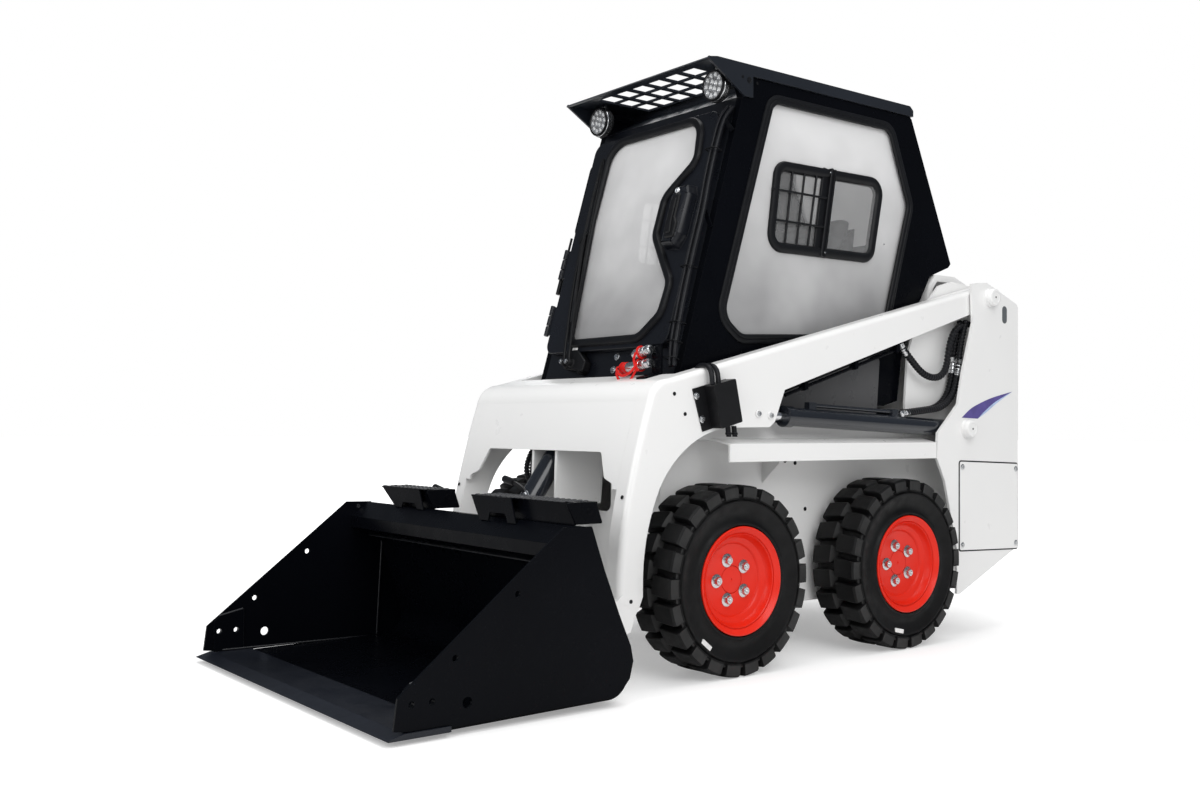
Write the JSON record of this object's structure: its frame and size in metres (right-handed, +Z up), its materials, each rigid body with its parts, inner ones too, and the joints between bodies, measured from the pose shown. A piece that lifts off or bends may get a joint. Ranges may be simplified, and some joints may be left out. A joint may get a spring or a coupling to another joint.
{
  "type": "skid steer loader",
  "caption": "Compact four-wheeled skid steer loader with a glazed cab, radial lift arms raised by hydraulic cylinders and a tilting front bucket with steps.",
  "frame": {"origin": "on the ground, under the middle of the overall length and width", "axes": "+X to the machine's left, -Y to its front, +Z up"},
  "size_m": [1.296, 2.772, 1.9448],
  "materials": {
    "white_paint": "satin",
    "black_paint": "gloss",
    "rim_paint": "satin",
    "tyre": "matt",
    "tinted_glass": "gloss",
    "black_plastic": "matt",
    "vinyl": "satin",
    "chrome": "polished",
    "zinc": "satin",
    "engine_grey": "satin",
    "hose_rubber": "matt",
    "red_plastic": "satin",
    "lamp": "gloss"
  },
  "bodies": {
    "chassis": {"axle_housings": "white_paint", "cab_floor": "black_paint", "cab_front": "black_paint", "cab_rear": "black_paint", "cab_roof": "black_paint", "cab_side_left": "black_paint", "cab_side_right": "black_paint", "engine": "engine_grey", "engine_hood": "white_paint", "fender_left": "white_paint", "fender_right": "white_paint", "lever_left": "black_plastic", "lever_right": "black_plastic", "main_frame": "white_paint", "rear_glass": "tinted_glass", "seat": "vinyl", "side_glass_left": "tinted_glass", "side_glass_right": "tinted_glass", "slider_frame_left": "black_plastic", "slider_frame_right": "black_plastic", "tower_left": "white_paint", "tower_right": "white_paint", "work_lamps": "lamp"},
    "wheel_front_left": {"tyre_front_left": "tyre", "rim_front_left": "rim_paint"},
    "wheel_front_right": {"tyre_front_right": "tyre", "rim_front_right": "rim_paint"},
    "wheel_rear_left": {"tyre_rear_left": "tyre", "rim_rear_left": "rim_paint"},
    "wheel_rear_right": {"tyre_rear_right": "tyre", "rim_rear_right": "rim_paint"},
    "lift_arms": {"lift_arm_left": "white_paint", "lift_arm_right": "white_paint", "cross_sheet": "white_paint", "tilt_mount": "white_paint", "hose_cover": "black_plastic", "arm_pipes": "black_paint", "coupler_bracket": "black_paint", "couplers": "zinc"},
    "lift_barrel_left": {"lift_barrel_left": "black_paint"},
    "lift_barrel_right": {"lift_barrel_right": "black_paint"},
    "lift_rod_left": {"lift_rod_left": "chrome"},
    "lift_rod_right": {"lift_rod_right": "chrome"},
    "tilt_barrel": {"tilt_barrel": "black_paint"},
    "tilt_rod": {"tilt_rod": "chrome"},
    "bucket": {"quick_attach": "white_paint", "bucket_shell": "black_paint", "bucket_side_left": "black_paint", "bucket_side_right": "black_paint", "cutting_edge": "black_paint", "bucket_steps": "black_paint"},
    "cab_door": {"cab_door": "black_paint", "door_glass": "tinted_glass"},
    "rear_door": {"rear_door": "white_paint"},
    "seat_bar": {"seat_bar": "black_paint"}
  },
  "joints": [
    {"name": "front_left_wheel_spin", "type": "hinge", "parent": "chassis", "child": "wheel_front_left", "pos_m": [0.47, -0.147, 0.292], "axis": [1, 0, 0], "continuous": true},
    {"name": "front_right_wheel_spin", "type": "hinge", "parent": "chassis", "child": "wheel_front_right", "pos_m": [-0.47, -0.147, 0.292], "axis": [1, 0, 0], "continuous": true},
    {"name": "rear_left_wheel_spin", "type": "hinge", "parent": "chassis", "child": "wheel_rear_left", "pos_m": [0.47, 0.648, 0.292], "axis": [1, 0, 0], "continuous": true},
    {"name": "rear_right_wheel_spin", "type": "hinge", "parent": "chassis", "child": "wheel_rear_right", "pos_m": [-0.47, 0.648, 0.292], "axis": [1, 0, 0], "continuous": true},
    {"name": "arm_lift", "type": "hinge", "parent": "chassis", "child": "lift_arms", "pos_m": [0, 1.205, 1.25], "axis": [-1, 0, 0], "range_deg": [0, 65]},
    {"name": "lift_barrel_left_swing", "type": "hinge", "parent": "chassis", "child": "lift_barrel_left", "pos_m": [0.453, 1.062, 0.756], "axis": [-1, 0, 0], "range_deg": [-1, 59.39]},
    {"name": "lift_rod_left_stroke", "type": "slide", "parent": "lift_barrel_left", "child": "lift_rod_left", "axis": [0, -0.9991, 0.0416], "range_m": [-0.001, 0.5357]},
    {"name": "lift_barrel_right_swing", "type": "hinge", "parent": "chassis", "child": "lift_barrel_right", "pos_m": [-0.453, 1.062, 0.756], "axis": [-1, 0, 0], "range_deg": [-1, 59.39]},
    {"name": "lift_rod_right_stroke", "type": "slide", "parent": "lift_barrel_right", "child": "lift_rod_right", "axis": [0, -0.9991, 0.0416], "range_m": [-0.001, 0.5357]},
    {"name": "bucket_tilt", "type": "hinge", "parent": "lift_arms", "child": "bucket", "pos_m": [0, -0.562, 0.2], "axis": [-1, 0, 0], "range_deg": [-96, 24]},
    {"name": "tilt_barrel_swing", "type": "hinge", "parent": "lift_arms", "child": "tilt_barrel", "pos_m": [0, -0.314, 0.841], "axis": [-1, 0, 0], "range_deg": [-4.5, 1.5]},
    {"name": "tilt_rod_stroke", "type": "slide", "parent": "tilt_barrel", "child": "tilt_rod", "axis": [0, -0.5832, -0.8123], "range_m": [-0.076, 0.31]},
    {"name": "cab_door_hinge", "type": "hinge", "parent": "chassis", "child": "cab_door", "pos_m": [-0.392, -0.26601, 0.88924], "axis": [0, -0.2829, -0.9591], "range_deg": [0, 90]},
    {"name": "rear_door_hinge", "type": "hinge", "parent": "chassis", "child": "rear_door", "pos_m": [-0.333, 1.379, 0.78], "axis": [0, 0, 1], "range_deg": [0, 100]},
    {"name": "seat_bar_lift", "type": "hinge", "parent": "chassis", "child": "seat_bar", "pos_m": [0, 0.62, 1.33], "axis": [-1, 0, 0], "range_deg": [0, 75]}
  ],
  "couplings": [
    {"joint": "lift_barrel_left_swing", "follows": "arm_lift", "ratio": 0.8983},
    {"joint": "lift_rod_left_stroke", "follows": "arm_lift", "m_per_rad": 0.4704},
    {"joint": "lift_barrel_right_swing", "follows": "arm_lift", "ratio": 0.8983},
    {"joint": "lift_rod_right_stroke", "follows": "arm_lift", "m_per_rad": 0.4704},
    {"joint": "tilt_barrel_swing", "follows": "bucket_tilt", "ratio": 0.04},
    {"joint": "tilt_rod_stroke", "follows": "bucket_tilt", "m_per_rad": -0.176}
  ]
}
